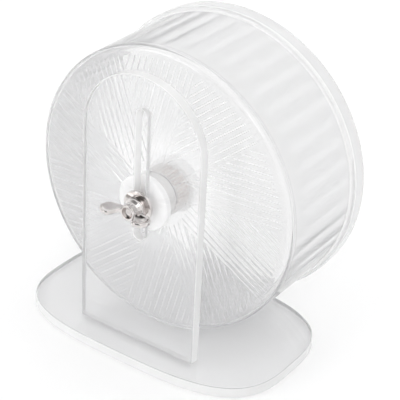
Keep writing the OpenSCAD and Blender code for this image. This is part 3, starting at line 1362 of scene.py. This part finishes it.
@dataclass
class Clamp:
    """The threaded bolt with its flat washer, spring washer and wing nut."""

    axle: Axle
    steps: int = 96
    shank_steps: int = 48
    thread_pitch: float = 0.001
    thread_depth: float = 0.0006
    thread_rows: int = 10
    thread_length: float = 0.020
    thread_gap: float = 0.00003
    tip_chamfer: float = 0.0012
    head_sides: int = 6
    head_chamfer: float = 0.0004
    bore_radius: float = 0.00303
    bore_past: float = 0.001
    washer_edge: float = 0.0004
    washer_steps: int = 6
    lock_gap: float = 0.0007
    lock_slant: float = 0.6
    lock_edge: float = 0.0002
    body_top: float = 0.0046
    body_base: float = 0.0062
    body_lip: float = 0.0005
    lip_steps: int = 4
    mouth_radius: float = 0.0033
    mouth_depth: float = 0.0012
    wing_lead: float = 0.006
    wing_thickness: float = 0.0028
    wing_tip: float = 0.0055
    wing_from: float = -115.0
    wing_to: float = 65.0
    wing_steps: int = 24
    wing_reach: float = 0.0012
    wing_root: float = 0.0038
    wing_inset: float = 0.0012
    wing_soft: float = 0.001
    wing_soft_steps: int = 4
    wing_dish: float = 0.0003
    grain: float = 0.0002
    blend_factor: float = 0.5
    blend_rounds: int = 6
    nut_smooth_angle: float = 40.0
    bolt: Extent = field(init=False)
    nut: Extent = field(init=False)
    shank: float = field(init=False)
    plate: Metal = Metal(
        name="nickel_plating",
        dark=(0.56, 0.53, 0.515),
        light=(0.84, 0.81, 0.8),
        polished=0.06,
        dull=0.16,
        stain_scale=240.0,
        grain_scale=1800.0,
        grain_height=0.000006,
    )

    def __post_init__(self) -> None:
        """Reads the bolt's and the nut's corners from the frame."""
        self.bolt, self.nut = Extent.of("axle_bolt"), Extent.of("wing_nut")
        self.shank = self.bore_radius - self.thread_gap

    def threaded(self, place: Vector) -> Vector:
        """Moves a point of the shank in, where the thread's groove runs.

        Args:
            place: A point of the shank.

        Returns:
            Its new place.
        """
        radius, along, turn = self.axle.polar(place)
        start = self.bolt.low.y + self.tip_chamfer
        end = start + self.thread_length
        if radius < self.shank - MERGE_DISTANCE or not start < along < end:
            return place
        phase = (along - start) / self.thread_pitch - turn / math.tau
        groove = abs(2.0 * (phase - math.floor(phase)) - 1.0)
        fade = ease((end - along) / (2.0 * self.thread_pitch))
        return self.axle.point(radius - self.thread_depth * groove * fade, along, turn)

    def bolt_head(self, seat: float) -> Piece:
        """Models the hexagon head, with both ends chamfered on a lathe.

        Args:
            seat: Place along the axle where the head starts.

        Returns:
            The head.
        """
        end, radius, chamfer = self.bolt.high.y, self.bolt.radius, self.head_chamfer
        Workbench.lay_down_all()
        bpy.ops.mesh.primitive_cylinder_add(
            vertices=self.head_sides,
            radius=radius,
            depth=end - seat,
            location=self.axle.centre + Vector((0.0, (seat + end) / 2.0, 0.0)),
            rotation=(math.radians(90.0), 0.0, math.radians(90.0)),
        )
        head = Workbench.name_new("bolt_head")
        blank = [(0.0, seat), (radius - chamfer, seat), (radius, seat + chamfer)]
        blank += [(radius, end - chamfer), (radius - chamfer, end), (0.0, end)]
        lathe = Workbench.turned("head_blank", self.axle, blank, self.steps)
        Workbench.work_in(head, lathe, Joinery.KEEP_COMMON)
        return head

    def threaded_bolt(self) -> Piece:
        """Turns the shank, cuts its thread and adds the head.

        Returns:
            The bolt.
        """
        tip = self.bolt.low.y
        seat = Extent.of("bolt_head_ring").high.y
        middle = (seat + self.bolt.high.y) / 2.0
        rows = int(self.thread_length / self.thread_pitch * self.thread_rows)
        first = tip + self.tip_chamfer
        line = [(0.0, tip), (self.shank - self.tip_chamfer, tip)]
        line += [(self.shank, first + self.thread_length * row / rows) for row in range(rows + 1)]
        line += [(self.shank, middle), (0.0, middle)]
        piece = Workbench.turned("threaded_bolt", self.axle, line, self.shank_steps)
        Workbench.shift(piece, self.threaded)
        Workbench.work_in(piece, self.bolt_head(seat), Joinery.ADD)
        return Workbench.close_mesh(piece)

    def plain_washer(self) -> Piece:
        """Turns the flat washer, with its front edge rolled round by the punch.

        Returns:
            The washer.
        """
        washer = Extent.of("flat_washer")
        front, back, radius = washer.low.y, washer.high.y, washer.radius
        edge, bore = self.washer_edge, self.bore_radius
        line = [(bore + edge / 2.0, front)]
        line += arc((radius - edge, front + edge), edge, -90.0, 0.0, self.washer_steps)
        line += [(radius, back - edge / 3.0), (radius - edge / 3.0, back)]
        line += [(bore, back), (bore, front + edge / 2.0), (bore + edge / 2.0, front)]
        return Workbench.turned("plain_washer", self.axle, line, self.steps)

    def spring_washer(self) -> Piece:
        """Sweeps the spring washer's section almost right round and slants its two ends.

        Returns:
            The washer.
        """
        lock = Extent.of("lock_washer")
        front, back, radius = lock.low.y, lock.high.y, lock.radius
        edge, inner = self.lock_edge, self.bore_radius
        line = [(inner + edge, front), (radius - edge, front), (radius, front + edge), (radius, back - edge)]
        line += [(radius - edge, back), (inner + edge, back), (inner, back - edge), (inner, front + edge)]
        line += [(inner + edge, front)]
        middle_radius, middle = (inner + radius) / 2.0, (front + back) / 2.0
        gap = self.lock_gap / middle_radius
        start = math.radians(90.0) + gap / 2.0
        piece = Workbench.draw("spring_washer", [self.axle.point(r, along, start) for r, along in line])
        Workbench.merge_doubles()
        Workbench.pick_all()
        Workbench.spin(self.axle, self.steps, math.tau - gap)
        Workbench.pick_all()
        bpy.ops.mesh.fill_holes(sides=len(line))
        Workbench.close_mesh(piece)

        def slanted(place: Vector) -> Vector:
            """Turns a point about the axle by its place across the section."""
            r, along, turn = self.axle.polar(place)
            return self.axle.point(r, along, turn + self.lock_slant * (along - middle) / middle_radius)

        Workbench.shift(piece, slanted)
        return Workbench.close_mesh(piece)

    def wing_pair(self) -> Piece:
        """Models one dished wing as a plate with round edges and copies it to the other side.

        Returns:
            Both wings.
        """
        front, back, inset = self.nut.low.y + self.wing_lead, self.nut.high.y, self.wing_inset
        tip = (self.nut.high.x - self.wing_tip, self.nut.low.y + self.wing_tip - self.wing_reach)
        outline = arc(tip, self.wing_tip, self.wing_from, self.wing_to, self.wing_steps)
        outline += [(self.wing_root, back - 2.0 * inset), (self.wing_root, front + inset)]
        low = self.axle.height - self.wing_thickness / 2.0
        points = [Vector((x, y, low)) for x, y in outline]
        piece = Workbench.plate("wing_pair", [points], Vector((0.0, 0.0, self.wing_thickness)))
        beyond = self.wing_root + SPECK
        Workbench.round_edges(piece, self.wing_soft, self.wing_soft_steps, lambda middle: middle.x > beyond)
        Workbench.open_up()
        Workbench.pick_none(Pick.FACES)
        mesh = bmesh.from_edit_mesh(piece.data)
        for flat in mesh.faces:
            flat.select_set(abs(flat.normal.z) > LEVEL_NORMAL)
        bmesh.update_edit_mesh(piece.data)
        bpy.ops.mesh.inset(thickness=self.wing_soft, depth=-self.wing_dish, use_individual=True)
        bpy.ops.mesh.select_mode(type=Pick.POINTS.value)
        Workbench.pick_all()
        Workbench.spin(self.axle, 1, math.pi, copies=True)
        return Workbench.close_mesh(piece)

    def cast_wing_nut(self) -> Piece:
        """Casts the nut: a turned body with two wings, blended together, and a bored hole.

        Returns:
            The nut.
        """
        front, back, lip = self.nut.low.y + self.wing_lead, self.nut.high.y, self.body_lip
        skirt = (back - front) / 4.0
        body = [(0.0, front), (self.body_top - lip, front)]
        body += arc((self.body_top - lip, front + lip), lip, -90.0, 0.0, self.lip_steps)
        body += [(self.body_top, back - 2.0 * skirt), (self.body_base, back - skirt)]
        body += [(self.body_base, back), (0.0, back)]
        boss = Workbench.turned("nut_boss", self.axle, body, self.steps)
        piece = Workbench.join("cast_wing_nut", [boss, self.wing_pair()])
        grain = piece.modifiers.new("casting", "REMESH")
        grain.mode = "VOXEL"
        grain.voxel_size = self.grain
        Workbench.apply(piece, grain)
        blend = piece.modifiers.new("blend", "SMOOTH")
        blend.factor = self.blend_factor
        blend.iterations = self.blend_rounds
        Workbench.apply(piece, blend)
        floor, start, end = front + self.mouth_depth, front - self.bore_past, back + self.bore_past
        bore = [(0.0, start), (self.mouth_radius, start), (self.mouth_radius, floor)]
        bore += [(self.bore_radius, floor + lip), (self.bore_radius, end), (0.0, end)]
        Workbench.work_in(piece, Workbench.turned("nut_bore", self.axle, bore, self.steps), Joinery.CUT)
        return Workbench.close_mesh(piece, self.nut_smooth_angle)

    def dress(self) -> None:
        """Builds and dresses the clamp."""
        nickel = self.plate.material()
        hand_over(self.threaded_bolt(), nickel, Body.AXLE, Slot.NICKEL, "axle_bolt")
        hand_over(self.plain_washer(), nickel, Body.AXLE, Slot.NICKEL, "flat_washer")
        hand_over(self.spring_washer(), nickel, Body.NUT_SEAT, Slot.NICKEL, "lock_washer")
        hand_over(self.cast_wing_nut(), nickel, Body.NUT, Slot.NICKEL, "wing_nut")


@dataclass(frozen=True)
class Softbox:
    """A square lamp with a soft, even face."""

    name: str
    place: tuple[float, float, float]
    side: float
    power: float

    def hang(self, target: Vector) -> None:
        """Hangs the lamp so that it faces a point.

        Args:
            target: The point.
        """
        lamp = bpy.data.lights.new(self.name, "AREA")
        lamp.shape = "SQUARE"
        lamp.size = self.side
        lamp.energy = self.power
        holder = bpy.data.objects.new(self.name, lamp)
        bpy.context.scene.collection.objects.link(holder)
        holder.location = self.place
        holder.rotation_euler = (target - Vector(self.place)).to_track_quat("-Z", "Y").to_euler()


@dataclass
class Studio:
    """A white floor and backdrop, soft lamps and the camera."""

    floor_side: float = 6.0
    floor_drop: float = 0.0003
    floor_colour: Colour = (0.97, 0.97, 0.97)
    floor_roughness: float = 0.9
    daylight: float = 0.945
    backdrop: float = 1.0
    dim_way: tuple[float, float, float] = (-0.25, -0.94, 0.23)
    dim_core: float = 30.0
    dim_edge: float = 60.0
    dim_level: float = 0.02
    camera_place: tuple[float, float, float] = (0.39878, -0.56935, 0.48380)
    camera_azimuth: float = 33.976
    camera_elevation: float = 30.166
    camera_roll: float = 2.966
    camera_lens: float = 132.80
    camera_near: float = 0.01
    sensor: float = 36.0
    bounces: int = 96
    glossy_bounces: int = 48
    diffuse_bounces: int = 6
    lamps: tuple[Softbox, ...] = (
        Softbox("key_lamp", (-0.77, -1.27, 0.48), 0.6, 3.4),
        Softbox("fill_lamp", (1.0, -1.2, 1.4), 0.8, 3.0),
        Softbox("top_lamp", (0.1, 0.7, 1.7), 0.9, 3.0),
    )

    def lay_floor(self) -> None:
        """Lays the floor just under the base plate."""
        Workbench.lay_down_all()
        bpy.ops.mesh.primitive_plane_add(size=self.floor_side, location=(0.0, 0.0, -self.floor_drop))
        floor = Workbench.name_new("studio_floor")
        material = bpy.data.materials.new("studio_paper")
        material.use_nodes = True
        shader = material.node_tree.nodes["Principled BSDF"]
        shader.inputs["Base Color"].default_value = (*self.floor_colour, 1.0)
        shader.inputs["Roughness"].default_value = self.floor_roughness
        shader.inputs["Specular IOR Level"].default_value = 0.0
        floor.data.materials.append(material)

    def light_world(self) -> None:
        """Lights the room evenly, and shows a white backdrop with a dim patch at the front left.

        Only reflections meet the dim patch. The camera and refractions see white alone.
        """
        world = bpy.data.worlds.new("studio_room")
        bpy.context.scene.world = world
        world.use_nodes = True
        room = Nodes(world.node_tree)
        feeds = {0: room.add("ShaderNodeTexCoord").outputs["Generated"], 1: self.dim_way}
        facing = room.add("ShaderNodeVectorMath", feeds, operation="DOT_PRODUCT").outputs["Value"]
        start, end = (math.cos(math.radians(turn)) for turn in (self.dim_edge, self.dim_core))
        dim = room.ramp(facing, start, end, self.backdrop, self.dim_level)
        rays = room.add("ShaderNodeLightPath").outputs
        direct = room.either(rays["Is Camera Ray"], rays["Is Transmission Ray"])
        shown = room.either(direct, rays["Is Glossy Ray"])
        light = room.add("ShaderNodeBackground", {"Color": WHITE_LIGHT, "Strength": self.daylight})
        level = room.either(direct, dim)
        seen = room.add("ShaderNodeBackground", {"Color": WHITE_LIGHT, "Strength": level})
        feeds = {0: shown, 1: light.outputs["Background"], 2: seen.outputs["Background"]}
        both = room.add("ShaderNodeMixShader", feeds)
        room.add("ShaderNodeOutputWorld", {"Surface": both.outputs["Shader"]})

    def set_camera(self) -> None:
        """Sets the camera at the viewing angle, with its slight roll."""
        azimuth, elevation = math.radians(self.camera_azimuth), math.radians(self.camera_elevation)
        out, rise = math.cos(elevation), math.sin(elevation)
        back = Vector((math.sin(azimuth) * out, -math.cos(azimuth) * out, rise))
        level = Vector((math.cos(azimuth), math.sin(azimuth), 0.0))
        upward = back.cross(level)
        roll = math.radians(self.camera_roll)
        right = level * math.cos(roll) + upward * math.sin(roll)
        up = upward * math.cos(roll) - level * math.sin(roll)
        turned = Matrix((right, up, back)).transposed().to_4x4()
        lens = bpy.data.cameras.new("studio_camera")
        lens.lens = self.camera_lens
        lens.sensor_width = self.sensor
        lens.clip_start = self.camera_near
        camera = bpy.data.objects.new("studio_camera", lens)
        bpy.context.scene.collection.objects.link(camera)
        camera.matrix_world = Matrix.Translation(self.camera_place) @ turned
        bpy.context.scene.camera = camera

    def set_up(self, target: Vector) -> None:
        """Sets up the floor, the lamps, the room and the camera round the object.

        Args:
            target: The point that the lamps face.
        """
        scene = bpy.context.scene
        scene.view_settings.view_transform = "Standard"
        scene.cycles.max_bounces = self.bounces
        scene.cycles.transmission_bounces = self.bounces
        scene.cycles.glossy_bounces = self.glossy_bounces
        scene.cycles.diffuse_bounces = self.diffuse_bounces
        scene.cycles.blur_glossy = 0.0
        self.lay_floor()
        self.light_world()
        for lamp in self.lamps:
            lamp.hang(target)
        self.set_camera()


def main() -> None:
    """Loads the frame, builds and dresses every sub-assembly and sets up the studio."""
    logging.basicConfig(level=logging.INFO, format="%(name)s: %(message)s")
    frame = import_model()
    drum = Extent.of("wheel_drum")
    axle = Axle((drum.low.z + drum.high.z) / 2.0)
    Stand(axle).dress()
    Drum(axle).dress()
    Hub(axle).dress()
    Bearings(axle, frame["nodes"]).dress()
    Clamp(axle).dress()
    Studio().set_up(axle.centre)
    bpy.context.view_layer.update()


if __name__ == "__main__":
    main()
